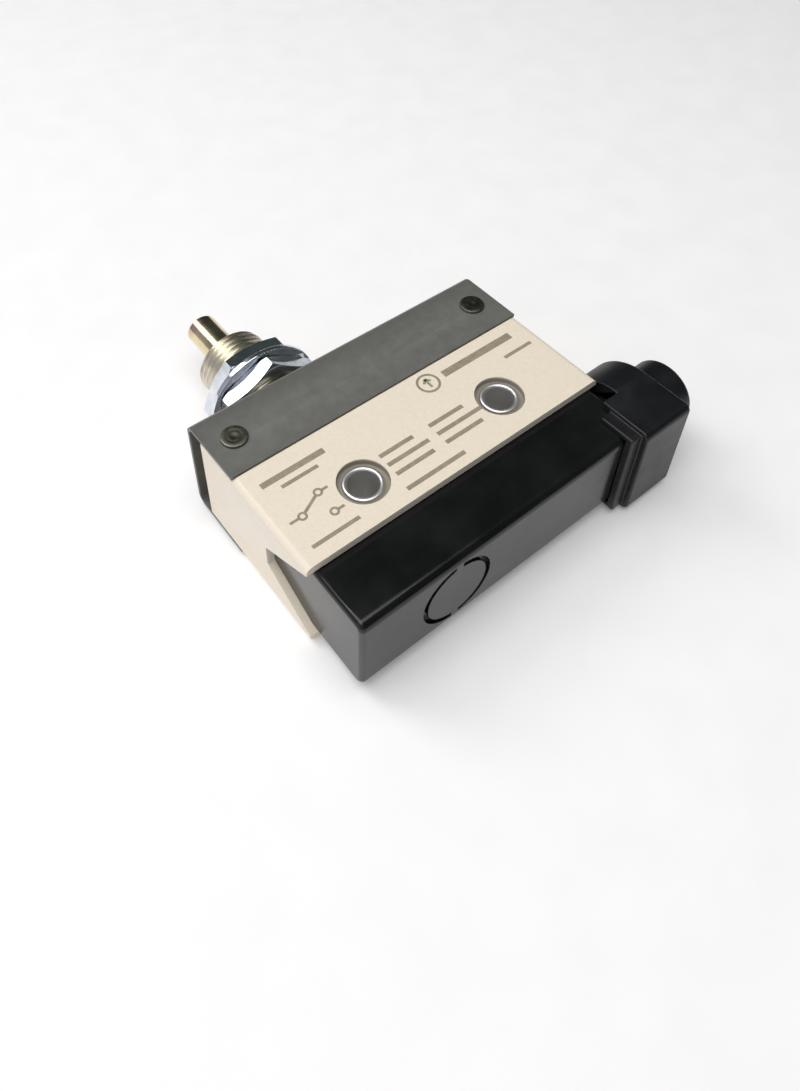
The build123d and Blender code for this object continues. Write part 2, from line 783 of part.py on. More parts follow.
# ---------------------------------------------------------------- cable outlet boot
# A rubber boot over the end of the cover: a square lip with a thinner step round the
# lower part, a round collar behind it, and a nozzle for the cable.
with BuildPart() as outlet_boot:
    with BuildSketch(Plane.YZ.offset(boot_start)):
        with BuildLine():
            crown = ThreePointArc(
                (outlet_y, mid_z - boot_radius),
                (outlet_y + boot_radius, mid_z),
                (outlet_y, mid_z + boot_radius),
            )
            Polyline(
                crown @ 1,
                (boot_bottom, mid_z + boot_radius),
                (boot_bottom, mid_z - boot_radius),
                crown @ 0,
            )
        make_face()
    extrude(amount=boot_end - boot_start)
    with BuildSketch(Plane.YZ.offset(boot_lip_start)):
        with Locations(((boot_bottom + boot_lip_top) / 2, mid_z)):
            Rectangle(boot_lip_top - boot_bottom, 2 * boot_radius)
    extrude(amount=boot_start - boot_lip_start)
    fillet(outlet_boot.edges().filter_by(Axis.X).group_by(Axis.Y)[0], boot_edge_radius)
    lip_rim = outlet_boot.faces().sort_by(Axis.X)[0].outer_wire().edges().sort_by(Axis.Y)[:-1]
    fillet(lip_rim, boot_lip_round)
    fillet(outlet_boot.faces().sort_by(Axis.X)[-1].outer_wire().edges(), boot_edge_radius / 2)
    with BuildSketch(outlet_plane.offset(boot_end)):
        Circle(nozzle_diameter / 2)
    extrude(amount=nozzle_end - boot_end)
    fillet(outlet_boot.faces().sort_by(Axis.X)[-1].outer_wire().edges(), boot_edge_radius / 2)
    with BuildSketch(Plane.YZ.offset(boot_step_start)):
        with Locations(((boot_step_bottom + boot_step_top) / 2, mid_z)):
            Rectangle(boot_step_top - boot_step_bottom, 2 * (boot_radius - boot_step_inset))
    extrude(amount=boot_lip_start - boot_step_start)
    step_rim = outlet_boot.faces().sort_by(Axis.X)[0].outer_wire().edges().sort_by(Axis.Y)[:-1]
    fillet(step_rim, boot_lip_round)
    with BuildSketch(Plane.YZ.offset(boot_step_start)):
        with Locations(((cover_bottom + skirt_edge - skirt_gap) / 2, mid_z)):
            Rectangle(skirt_edge - skirt_gap - cover_bottom, 2 * cover_side)
    extrude(amount=cover_half - boot_step_start, mode=Mode.SUBTRACT)
    with BuildSketch(outlet_plane.offset(cover_half)):
        Circle(spigot_outer / 2)
    extrude(amount=spigot_length, mode=Mode.SUBTRACT)
    with BuildSketch(outlet_plane.offset(cover_half)):
        Circle(outlet_bore / 2)
    extrude(amount=nozzle_end - cover_half, mode=Mode.SUBTRACT)
finish(outlet_boot, "outlet_boot")
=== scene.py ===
# %% [markdown]
# # An enclosed limit switch with a panel-mount plunger
# The switch lies on its back, as it would on a bench. A moulded housing holds a sealed
# switch unit, a folded metal cap closes its top, and a threaded bushing with two nuts
# guides the plunger. A black cover closes the wiring space and ends in a rubber boot.
# The CAD frame is loaded first, because every piece made here sits on it.

# %% Load the frame
import math

import bpy
from mathutils import Matrix, Vector


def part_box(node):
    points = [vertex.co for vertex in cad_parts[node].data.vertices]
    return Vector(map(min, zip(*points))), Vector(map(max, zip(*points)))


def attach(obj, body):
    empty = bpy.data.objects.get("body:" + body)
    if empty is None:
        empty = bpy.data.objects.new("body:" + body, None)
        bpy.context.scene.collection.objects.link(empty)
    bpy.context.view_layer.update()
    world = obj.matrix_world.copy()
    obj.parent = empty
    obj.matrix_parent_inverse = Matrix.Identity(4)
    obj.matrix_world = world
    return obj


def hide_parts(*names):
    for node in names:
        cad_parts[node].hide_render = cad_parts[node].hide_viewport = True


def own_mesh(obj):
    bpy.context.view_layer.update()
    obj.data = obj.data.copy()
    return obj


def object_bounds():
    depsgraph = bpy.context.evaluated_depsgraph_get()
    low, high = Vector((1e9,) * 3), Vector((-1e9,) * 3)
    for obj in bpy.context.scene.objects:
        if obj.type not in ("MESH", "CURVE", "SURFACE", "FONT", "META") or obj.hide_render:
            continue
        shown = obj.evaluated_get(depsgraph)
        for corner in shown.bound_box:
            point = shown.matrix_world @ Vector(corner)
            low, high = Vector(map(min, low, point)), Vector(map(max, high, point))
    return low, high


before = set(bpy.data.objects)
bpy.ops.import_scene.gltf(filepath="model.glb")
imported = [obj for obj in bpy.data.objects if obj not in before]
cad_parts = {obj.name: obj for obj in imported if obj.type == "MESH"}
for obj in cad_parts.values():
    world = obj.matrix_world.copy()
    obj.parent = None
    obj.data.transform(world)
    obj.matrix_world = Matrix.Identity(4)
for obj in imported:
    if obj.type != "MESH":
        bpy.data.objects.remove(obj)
CAD_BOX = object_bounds()
MM = 0.001
PLUNGER_X = (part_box("plunger")[0].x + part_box("plunger")[1].x) / 2
MID_Z = (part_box("plunger")[0].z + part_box("plunger")[1].z) / 2
FRONT_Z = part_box("housing")[1].z

# Radii in mm, and the places in mm that follow from them.
EYELET_OUTER, EYELET_INNER = 3.0, 2.25
COUNTERBORE = 3.75
RIVET_HEAD = 2.0
MOUNT_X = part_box("mounting_eyelets")[1].x / MM - EYELET_OUTER
RIVET_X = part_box("cap_rivets")[1].x / MM - RIVET_HEAD
RIVET_Y = (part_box("cap_rivets")[0].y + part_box("cap_rivets")[1].y) / 2 / MM
print("cad box in mm", [[round(v / MM, 2) for v in corner] for corner in CAD_BOX])

# %% [markdown]
# A product camera stands about 16 cm away and looks down at 42 degrees. It is placed by its
# eye point and by two directions, which is exact and easy to check. The small shift keeps
# the object in the upper part of the frame without tilting its upright lines.

# %% Camera
EYE = Vector((-59.761, -60.085, 119.264)) * MM
LOOK = Vector((0.45985, 0.58294, -0.66986)).normalized()
UPWARD = Vector((0.40740, 0.53178, 0.74245))
bpy.ops.object.camera_add(location=EYE)
camera = bpy.context.object
camera.name = "product_camera"
camera.rotation_mode = "QUATERNION"
sideways = LOOK.cross(UPWARD).normalized()
upright = sideways.cross(LOOK)
camera.rotation_quaternion = Matrix((sideways, upright, -LOOK)).transposed().to_quaternion()
camera.data.sensor_width = 36.0
camera.data.lens = 30.552
camera.data.shift_x = 0.0302
camera.data.shift_y = -0.2249
camera.data.clip_start = 0.01
bpy.context.scene.camera = camera
print("camera stands", round(EYE.length / MM), "mm from the origin")

# %% [markdown]
# The stage is a plain pale floor and three soft lamps. A big area lamp overhead gives even
# light, one beyond the far left corner draws the streaks on the bright metal, and a low one
# on the left lights the end of the housing. Polished metal and glossy black show what is
# around them, so the room is dim on the right and paler on the left. A Light Path node lets
# the camera see a plain pale surround in its place.

# %% Floor, lamps and surround
scene = bpy.context.scene
scene.view_settings.view_transform = "Standard"
bpy.ops.object.select_all(action="DESELECT")
bpy.ops.mesh.primitive_plane_add(size=4.0, location=(0, 0, CAD_BOX[0].z))
floor = bpy.context.object
floor.name = "studio_floor"
bpy.ops.object.transform_apply(location=True, rotation=True, scale=True)


def add_lamp(name, place, target, size, watts, tint):
    """A square soft lamp at place, turned to face target."""
    bpy.ops.object.light_add(type="AREA", location=place)
    lamp = bpy.context.object
    lamp.name = name
    lamp.data.shape = "RECTANGLE"
    lamp.data.size, lamp.data.size_y = size
    lamp.data.energy = watts
    lamp.data.color = tint
    lamp.rotation_mode = "QUATERNION"
    lamp.rotation_quaternion = (Vector(target) - Vector(place)).to_track_quat("-Z", "Y")
    return lamp


add_lamp("overhead_lamp", (-0.10, -0.04, 0.60), (0, 0, 0), (0.56, 0.56), 2.75, (1.0, 0.985, 0.96))
add_lamp("far_left_lamp", (-0.20, 0.36, 0.44), (-0.01, 0.02, 0.01), (0.22, 0.30), 0.9, (1.0, 0.99, 0.96))
add_lamp("left_lamp", (-0.48, -0.05, 0.22), (0, 0.01, 0.01), (0.30, 0.30), 0.1, (1.0, 0.94, 0.92))

world = bpy.data.worlds.new("pale_surround")
scene.world = world
world.use_nodes = True
sky = world.node_tree
sky.nodes.clear()
sky_out = sky.nodes.new("ShaderNodeOutputWorld")
sky_coord = sky.nodes.new("ShaderNodeTexCoord")
sky_split = sky.nodes.new("ShaderNodeSeparateXYZ")
sky_ramp = sky.nodes.new("ShaderNodeValToRGB")
sky_turn = sky.nodes.new("ShaderNodeMapRange")
room_glow = sky.nodes.new("ShaderNodeBackground")
seen_glow = sky.nodes.new("ShaderNodeBackground")
sky_path = sky.nodes.new("ShaderNodeLightPath")
sky_mix = sky.nodes.new("ShaderNodeMixShader")
sky_turn.inputs["From Min"].default_value = 0.3
sky_turn.inputs["From Max"].default_value = -0.9
sky.links.new(sky_coord.outputs["Generated"], sky_split.inputs["Vector"])
sky.links.new(sky_split.outputs["X"], sky_turn.inputs["Value"])
sky.links.new(sky_turn.outputs["Result"], sky_ramp.inputs["Fac"])
sky.links.new(sky_ramp.outputs["Color"], room_glow.inputs["Color"])
sky.links.new(sky_path.outputs["Is Camera Ray"], sky_mix.inputs["Fac"])
sky.links.new(room_glow.outputs["Background"], sky_mix.inputs[1])
sky.links.new(seen_glow.outputs["Background"], sky_mix.inputs[2])
sky.links.new(sky_mix.outputs["Shader"], sky_out.inputs["Surface"])
sky_ramp.color_ramp.elements[0].color = (0.045, 0.055, 0.052, 1)
sky_ramp.color_ramp.elements[1].color = (0.38, 0.37, 0.45, 1)
seen_glow.inputs["Color"].default_value = (0.98, 0.98, 0.98, 1)

# %% [markdown]
# ## Small helpers for shaders
# A finish is a node tree. These helpers only save typing: one adds a node with its values,
# one turns a paint-chart colour into the linear numbers that the shader wants, and one makes
# a material with its output and main shader already joined.

# %% Shader helpers


def paint(red, green, blue):
    """A colour given as 0 to 255 screen values, as linear numbers with full opacity."""
    shares = [c / 255 for c in (red, green, blue)]
    linear = [s / 12.92 if s <= 0.04045 else ((s + 0.055) / 1.055) ** 2.4 for s in shares]
    return (*linear, 1.0)


def add_node(tree, kind, inputs=None, **settings):
    """A new node with settings on it, and with plain values or links on its inputs."""
    node = tree.nodes.new(kind)
    for name, value in settings.items():
        setattr(node, name, value)
    for name, value in (inputs or {}).items():
        if isinstance(value, bpy.types.NodeSocket):
            tree.links.new(value, node.inputs[name])
        else:
            node.inputs[name].default_value = value
    return node


def new_finish(name, base, roughness, metallic=0.0):
    """A material with one Principled shader. Gives the material, its tree and the shader."""
    material = bpy.data.materials.new(name)
    material.use_nodes = True
    tree = material.node_tree
    tree.nodes.clear()
    out = tree.nodes.new("ShaderNodeOutputMaterial")
    shader = tree.nodes.new("ShaderNodeBsdfPrincipled")
    tree.links.new(shader.outputs["BSDF"], out.inputs["Surface"])
    shader.inputs["Base Color"].default_value = base
    shader.inputs["Roughness"].default_value = roughness
    shader.inputs["Metallic"].default_value = metallic
    return material, tree, shader


def new_effect(name, inputs, outputs):
    """An empty shader node group with named number inputs and outputs."""
    group = bpy.data.node_groups.new(name, "ShaderNodeTree")
    for label, value in inputs.items():
        socket = group.interface.new_socket(label, in_out="INPUT", socket_type="NodeSocketFloat")
        socket.default_value = value
    for label in outputs:
        group.interface.new_socket(label, in_out="OUTPUT", socket_type="NodeSocketFloat")
    return group, group.nodes.new("NodeGroupInput"), group.nodes.new("NodeGroupOutput")


def place_effect(tree, group, **values):
    """The effect as a node in a material, with that material's own values."""
    node = tree.nodes.new("ShaderNodeGroup")
    node.node_tree = group
    for label, value in values.items():
        node.inputs[label.replace("_", " ").capitalize()].default_value = value
    return node


# %% [markdown]
# ## Shared effects
# Moulded plastic, enamel and rubber all have a fine grain from the tool or the spray gun.
# The grain group mixes a fine and a coarse noise: the fine one becomes height for the bump,
# the coarse one a slow change of tone, so that no surface is one flat colour.

# %% Effect: grain
grain, grain_in, grain_out = new_effect("grain", {"Fineness": 2000, "Unevenness": 120}, ["Height", "Tone"])
coord = grain.nodes.new("ShaderNodeTexCoord")
fine = add_node(grain, "ShaderNodeTexNoise", {
    "Vector": coord.outputs["Object"], "Scale": grain_in.outputs["Fineness"],
    "Detail": 3.0, "Roughness": 0.6})
coarse = add_node(grain, "ShaderNodeTexNoise", {
    "Vector": coord.outputs["Object"], "Scale": grain_in.outputs["Unevenness"],
    "Detail": 4.0, "Roughness": 0.55})
grain.links.new(fine.outputs["Fac"], grain_out.inputs["Height"])
grain.links.new(coarse.outputs["Fac"], grain_out.inputs["Tone"])

# %% [markdown]
# Handling rubs the edges of a painted or moulded part a little paler. The wear-and-glint
# group reads how sharply the surface turns and breaks the line up with noise, because real
# wear is patchy. It gives a mask that a material uses to mix two colours or two roughnesses.
# On the dark rivet the same mask paints a pale highlight along the rim instead of wear.

# %% Effect: worn edges and painted glints
wear_and_glint, wear_and_glint_in, wear_and_glint_out = new_effect("worn_and_glinting_edges", {"Reach": 0.53, "Patchiness": 400}, ["Mask"])
turning = wear_and_glint.nodes.new("ShaderNodeNewGeometry")
wear_and_glint_coord = wear_and_glint.nodes.new("ShaderNodeTexCoord")
patches = add_node(wear_and_glint, "ShaderNodeTexNoise", {
    "Vector": wear_and_glint_coord.outputs["Object"], "Scale": wear_and_glint_in.outputs["Patchiness"], "Detail": 3.0})
edge = add_node(wear_and_glint, "ShaderNodeMapRange", {
    "Value": turning.outputs["Pointiness"], "From Min": wear_and_glint_in.outputs["Reach"],
    "From Max": 0.62, "To Min": 0.0, "To Max": 1.0})
broken = add_node(wear_and_glint, "ShaderNodeMath", {0: edge.outputs["Result"], 1: patches.outputs["Fac"]},
                  operation="MULTIPLY")
wear_and_glint.links.new(broken.outputs["Value"], wear_and_glint_out.inputs["Mask"])

# %% [markdown]
# Turned and rolled metal keeps the fine parallel marks of its tool. The tool-mark group
# draws them as a stretched noise along one direction, chosen by three stretch values: a
# small value draws the marks out along that axis, a large one packs them close.

# %% Effect: tool marks
marks, marks_in, marks_out = new_effect(
    "tool_marks", {"Along x": 40, "Along y": 4000, "Along z": 40}, ["Height", "Tone"])
marks_coord = marks.nodes.new("ShaderNodeTexCoord")
stretch = add_node(marks, "ShaderNodeCombineXYZ", {
    "X": marks_in.outputs["Along x"], "Y": marks_in.outputs["Along y"], "Z": marks_in.outputs["Along z"]})
packed = add_node(marks, "ShaderNodeVectorMath", {
    0: marks_coord.outputs["Object"], 1: stretch.outputs["Vector"]}, operation="MULTIPLY")
scratches = add_node(marks, "ShaderNodeTexNoise", {
    "Vector": packed.outputs["Vector"], "Scale": 1.0, "Detail": 2.0, "Roughness": 0.5})
clouds = add_node(marks, "ShaderNodeTexNoise", {
    "Vector": marks_coord.outputs["Object"], "Scale": 180.0, "Detail": 3.0})
marks.links.new(scratches.outputs["Fac"], marks_out.inputs["Height"])
marks.links.new(clouds.outputs["Fac"], marks_out.inputs["Tone"])
print("tool marks have", len(marks.nodes), "nodes")

# %% [markdown]
# A sunken seat lies in shade, and that shade is painted into the colour here. This group
# measures how far a point is from the nearer of the two mounting holes and how deep it lies
# below the front face. Its mask is full in the depth of the seat and empty on the face round it.

# %% Effect: painted shade in the seats
SEAT_EDGE = COUNTERBORE + 0.05
FULL_DEPTH = 0.4
# Painted shade: this mask darkens the colour in the depth of the two seats.
seat_shade_group, seat_shade_in, seat_shade_out = new_effect(
    "recess_painted_shade", {"Spacing": MOUNT_X * MM, "Reach": SEAT_EDGE * MM, "Face": FRONT_Z}, ["Mask"])
seat_shade_coord = seat_shade_group.nodes.new("ShaderNodeTexCoord")
place = add_node(seat_shade_group, "ShaderNodeSeparateXYZ", {"Vector": seat_shade_coord.outputs["Object"]})
either_side = add_node(seat_shade_group, "ShaderNodeMath", {0: place.outputs["X"]}, operation="ABSOLUTE")
sideways_off = add_node(seat_shade_group, "ShaderNodeMath", {
    0: either_side.outputs["Value"], 1: seat_shade_in.outputs["Spacing"]}, operation="SUBTRACT")
from_hole = add_node(seat_shade_group, "ShaderNodeCombineXYZ", {
    "X": sideways_off.outputs["Value"], "Y": place.outputs["Y"]})
distance = add_node(seat_shade_group, "ShaderNodeVectorMath", {0: from_hole.outputs["Vector"]}, operation="LENGTH")
in_seat = add_node(seat_shade_group, "ShaderNodeMath", {
    0: distance.outputs["Value"], 1: seat_shade_in.outputs["Reach"]}, operation="LESS_THAN")
depth = add_node(seat_shade_group, "ShaderNodeMapRange", {
    "Value": place.outputs["Z"], "From Min": seat_shade_in.outputs["Face"],
    "From Max": FRONT_Z - FULL_DEPTH * MM})
painted_seat_shade = add_node(seat_shade_group, "ShaderNodeMath", {
    0: in_seat.outputs["Value"], 1: depth.outputs["Result"]}, operation="MULTIPLY")
seat_shade_group.links.new(painted_seat_shade.outputs["Value"], seat_shade_out.inputs["Mask"])
print("effects:", [g.name for g in bpy.data.node_groups])

# %% [markdown]
# ## Finishes
# A moulded or painted finish is built the same way each time: the coarse tone moves the
# colour between two near shades, worn edges go paler, the same tone moves the roughness, and
# the fine grain feeds a bump. Only the numbers differ, so one function makes them all.

# %% Moulded and painted finishes


def moulded_finish(name, dark, light, rough, fineness, bump, edge_wear_and_glint=None, worn_reach=0.53, unevenness=120):
    """Plastic, enamel or rubber with grain, uneven tone and optional worn edges."""
    material, tree, shader = new_finish(name, light, rough[0])
    texture = place_effect(tree, grain, fineness=fineness, unevenness=unevenness)
    tone = add_node(tree, "ShaderNodeMapRange", {
        "Value": texture.outputs["Tone"], "From Min": 0.35, "From Max": 0.65})
    colour = add_node(tree, "ShaderNodeMix", {
        "Factor": tone.outputs["Result"], "A": dark, "B": light}, data_type="RGBA")
    final = colour
    if edge_wear_and_glint is not None:
        wear_and_glint_node = place_effect(tree, wear_and_glint, reach=worn_reach)
        final = add_node(tree, "ShaderNodeMix", {
            "Factor": wear_and_glint_node.outputs["Mask"], "B": edge_wear_and_glint}, data_type="RGBA")
        tree.links.new(colour.outputs[2], final.inputs[6])
    tree.links.new(final.outputs[2], shader.inputs["Base Color"])
    polish = add_node(tree, "ShaderNodeMapRange", {
        "Value": texture.outputs["Tone"], "From Min": 0.3, "From Max": 0.7,
        "To Min": rough[0], "To Max": rough[1]})
    tree.links.new(polish.outputs["Result"], shader.inputs["Roughness"])
    relief = add_node(tree, "ShaderNodeBump", {
        "Height": texture.outputs["Height"], "Strength": bump, "Distance": 0.00005})
    tree.links.new(relief.outputs["Normal"], shader.inputs["Normal"])
    return material


IVORY = moulded_finish("ivory_moulding", paint(237, 226, 205), paint(242, 232, 212), (0.45, 0.55), 5200, 0.22,
                       paint(245, 238, 224), 0.55, 2600)
ENAMEL = moulded_finish("grey_enamel", paint(92, 92, 87), paint(97, 97, 92), (0.42, 0.5), 3800, 0.12,
                        paint(160, 160, 156), 0.54, 900)
GLOSS_BLACK = moulded_finish("gloss_black_moulding", paint(15, 16, 16), paint(22, 23, 23), (0.16, 0.26), 1500,
                             0.05, paint(52, 52, 52), 0.55, 150)
BOOT_BLACK = moulded_finish("satin_black_rubber", paint(11, 12, 14), paint(16, 17, 20), (0.36, 0.46), 3000,
                            0.12, paint(34, 35, 38), 0.55, 200)
SEAL_RUBBER = moulded_finish("seal_rubber", paint(26, 26, 27), paint(38, 38, 38), (0.6, 0.75), 3500, 0.3)
PHENOLIC = moulded_finish("brown_phenolic", paint(58, 34, 24), paint(78, 46, 31), (0.35, 0.5), 2600, 0.2,
                          paint(104, 70, 50), 0.54, 260)
RED_PLASTIC = moulded_finish("red_button_plastic", paint(150, 28, 22), paint(172, 38, 30), (0.3, 0.42),
                             2600, 0.15)
PRINT_INK = moulded_finish("taupe_ink", paint(146, 136, 116), paint(162, 152, 132), (0.5, 0.62), 4200,
                           0.12, unevenness=1400)
print("moulded finishes:", [m.name for m in (IVORY, ENAMEL, GLOSS_BLACK, BOOT_BLACK, PHENOLIC)])

# %% [markdown]
# The ivory also carries painted shade in its two seats. The colour that already feeds the
# shader becomes the unshaded side of one more mix, and the mask of the painted-shade effect
# chooses between the two.

# %% Painted shade on the ivory
ivory_tree = IVORY.node_tree
ivory_shader = ivory_tree.nodes["Principled BSDF"]
unshaded_ivory = ivory_shader.inputs["Base Color"].links[0].from_socket
# Painted shade: the seats turn a darker grey taupe here.
seat_shade_node = place_effect(ivory_tree, seat_shade_group)
shaded_ivory = add_node(ivory_tree, "ShaderNodeMix", {
    "Factor": seat_shade_node.outputs["Mask"], "A": unshaded_ivory, "B": paint(150, 144, 132)}, data_type="RGBA")
ivory_tree.links.new(shaded_ivory.outputs[2], ivory_shader.inputs["Base Color"])
print("ivory finish has", len(ivory_tree.nodes), "nodes")

# %% [markdown]
# Bare and plated metals share a second recipe. The tool marks feed the bump and the
# roughness, and the slow tone moves the colour between two plating shades. The yellow
# passivated parts use three shades, rose, straw and olive, because that film is thin enough
# to show the colours of an oil slick.

# %% Metal finishes


def metal_finish(name, shades, rough, stretch_xyz, bump, tone_span=(0.35, 0.65), edge_wear_and_glint=None):
    """Plated or bare metal: shades blend by a slow tone, tool marks give bump and gloss."""
    material, tree, shader = new_finish(name, shades[0], rough[0], 1.0)
    worked = place_effect(tree, marks, along_x=stretch_xyz[0], along_y=stretch_xyz[1], along_z=stretch_xyz[2])
    ramp = tree.nodes.new("ShaderNodeValToRGB")
    tree.links.new(worked.outputs["Tone"], ramp.inputs["Fac"])
    steps = ramp.color_ramp.elements
    steps[0].position, steps[1].position = tone_span
    steps[0].color, steps[1].color = shades[0], shades[-1]
    if len(shades) > 2:
        steps.new(sum(tone_span) / 2).color = shades[1]
    shade = ramp.outputs["Color"]
    # On the dark rivet this pale edge colour is a painted highlight along its rim.
    if edge_wear_and_glint is not None:
        wear_and_glint_node = place_effect(tree, wear_and_glint, reach=0.515)
        shade = add_node(tree, "ShaderNodeMix", {
            "Factor": wear_and_glint_node.outputs["Mask"], "A": shade, "B": edge_wear_and_glint}, data_type="RGBA").outputs[2]
    tree.links.new(shade, shader.inputs["Base Color"])
    polish = add_node(tree, "ShaderNodeMapRange", {
        "Value": worked.outputs["Height"], "From Min": 0.3, "From Max": 0.7,
        "To Min": rough[0], "To Max": rough[1]})
    tree.links.new(polish.outputs["Result"], shader.inputs["Roughness"])
    relief = add_node(tree, "ShaderNodeBump", {
        "Height": worked.outputs["Height"], "Strength": bump, "Distance": 0.00002})
    tree.links.new(relief.outputs["Normal"], shader.inputs["Normal"])
    return material


ROUND_Y = (60, 5000, 60)
ALONG_X = (50, 3000, 3000)
BRIGHT_ZINC = metal_finish("bright_zinc", [paint(210, 217, 226), paint(240, 243, 245)], (0.09, 0.2),
                           (900, 900, 900), 0.10)
YELLOW_ZINC = metal_finish("yellow_passivated_zinc",
                           [paint(206, 170, 154), paint(236, 220, 180), paint(180, 180, 146)],
                           (0.14, 0.24), ROUND_Y, 0.12, (0.3, 0.7))
PALE_ZINC = metal_finish("pale_passivated_zinc",
                         [paint(206, 194, 182), paint(232, 226, 208), paint(196, 194, 178)],
                         (0.22, 0.36), ROUND_Y, 0.2, (0.3, 0.7))
NICKEL = metal_finish("bright_nickel", [paint(236, 235, 233), paint(246, 245, 243)], (0.36, 0.46),
                      (60, 60, 4000), 0.10)
# The rivet's pale edge colour paints the highlight on its rim; it is not wear.
DARK_RIVET = metal_finish("dark_rivet_steel", [paint(82, 82, 73), paint(106, 106, 94)], (0.34, 0.48),
                          (1200, 1200, 1200), 0.25, edge_wear_and_glint=paint(214, 212, 200))
SPRING_STEEL = metal_finish("spring_steel", [paint(150, 150, 150), paint(186, 186, 184)], (0.22, 0.34),
                            (700, 700, 700), 0.12)
COPPER_STRIP = metal_finish("copper_alloy_strip", [paint(196, 128, 84), paint(218, 156, 108)], (0.24, 0.36),
                            ALONG_X, 0.15)
SILVER = metal_finish("silver_contact", [paint(206, 206, 204), paint(232, 232, 230)], (0.26, 0.4),
                      (900, 900, 900), 0.15)
BRASS = metal_finish("terminal_brass", [paint(196, 162, 92), paint(222, 192, 120)], (0.24, 0.36),
                     ALONG_X, 0.15)
SCREW_ZINC = metal_finish("screw_zinc", [paint(176, 182, 188), paint(210, 214, 218)], (0.2, 0.34),
                          (900, 900, 900), 0.12)
FLOOR_FINISH = moulded_finish("pale_floor", paint(248, 248, 248), paint(251, 251, 251), (0.6, 0.7), 60, 0.02)
floor_shader = FLOOR_FINISH.node_tree.nodes["Principled BSDF"]
floor_shader.inputs["Emission Color"].default_value = (1, 1, 1, 1)
floor_shader.inputs["Emission Strength"].default_value = 0.1
floor.data.materials.append(FLOOR_FINISH)
print("finishes made:", len(bpy.data.materials))

# %% [markdown]
# ## Modelling helpers
# An operator works on everything that is selected, so each step starts by selecting one
# object alone. The other helpers draw a profile as a chain of extruded points, spin it into
# a turned part, and cut one solid with another.

# %% Modelling helpers


def take(piece):
    """Selects one object alone and makes it the active one."""
    bpy.ops.object.select_all(action="DESELECT")
    piece.select_set(True)
    bpy.context.view_layer.objects.active = piece


def in_edit_mode(piece, action):
    """Runs an action in edit mode with every vertex of the piece selected."""
    take(piece)
    bpy.ops.object.mode_set(mode="EDIT")
    bpy.ops.mesh.select_all(action="SELECT")
    action()
    bpy.ops.object.mode_set(mode="OBJECT")


def apply_modifier(piece, kind, **settings):
    """Adds a modifier with its settings and applies it."""
    take(piece)
    bpy.ops.object.modifier_add(type=kind)
    modifier = piece.modifiers[-1]
    for name, value in settings.items():
        setattr(modifier, name, value)
    bpy.ops.object.modifier_apply(modifier=modifier.name)


def draw_chain(name, points, closed):
    """An open or closed chain of edges through points, started from one merged vertex."""
    bpy.ops.object.select_all(action="DESELECT")
    bpy.ops.mesh.primitive_plane_add(size=MM, location=(0, 0, 0))
    piece = bpy.context.object
    piece.name = name
    bpy.ops.object.mode_set(mode="EDIT")
    bpy.ops.mesh.select_mode(type="VERT")
    bpy.ops.mesh.select_all(action="SELECT")
    bpy.ops.mesh.merge(type="CENTER")
    bpy.ops.transform.translate(value=Vector(points[0]))
    for last, following in zip(points, points[1:]):
        step = Vector(following) - Vector(last)
        bpy.ops.mesh.extrude_region_move(TRANSFORM_OT_translate={"value": step})
    if closed:
        home = Vector(points[0]) - Vector(points[-1])
        bpy.ops.mesh.select_all(action="DESELECT")
        bpy.ops.object.mode_set(mode="OBJECT")
        piece.data.vertices[len(points) - 1].select = True
        bpy.ops.object.mode_set(mode="EDIT")
        bpy.ops.mesh.extrude_region_move(TRANSFORM_OT_translate={"value": home})
        bpy.ops.mesh.select_all(action="SELECT")
        bpy.ops.mesh.remove_doubles(threshold=0.0005 * MM)
    bpy.ops.object.mode_set(mode="OBJECT")
    return piece


def turn_solid(name, profile, centre, axis, closed, steps=96):
    """A part turned on a lathe: profile points are (distance from the axis, place along it) in mm."""
    if axis == "Y":
        points = [(centre[0] + r * MM, y * MM, centre[2]) for r, y in profile]
        direction = (0, 1, 0)
    else:
        points = [(centre[0] + r * MM, centre[1], z * MM) for r, z in profile]
        direction = (0, 0, 1)
    piece = draw_chain(name, points, closed)

    def spin():
        bpy.ops.mesh.spin(steps=steps, angle=2 * math.pi, center=centre, axis=direction)
        bpy.ops.mesh.select_all(action="SELECT")
        bpy.ops.mesh.remove_doubles(threshold=0.001 * MM)
        bpy.ops.mesh.normals_make_consistent(inside=False)

    in_edit_mode(piece, spin)
    return piece


def cut(piece, tool, how):
    """Joins, cuts or keeps the common part of two solids, then deletes the tool."""
    apply_modifier(piece, "BOOLEAN", object=tool, operation=how, solver="EXACT")
    bpy.data.objects.remove(tool)


def smooth(piece, degrees=32):
    """Smooth shading that stays crisp where the surface turns more than this."""
    take(piece)
    bpy.ops.object.shade_smooth_by_angle(angle=math.radians(degrees))


def away_from(holes):
    """A test for points that keep clear of every hole: (x, y, reach) in mm, seen from the front."""
    def clear(point):
        return all(math.hypot(point.x / MM - x, point.y / MM - y) > reach for x, y, reach in holes)
    return clear


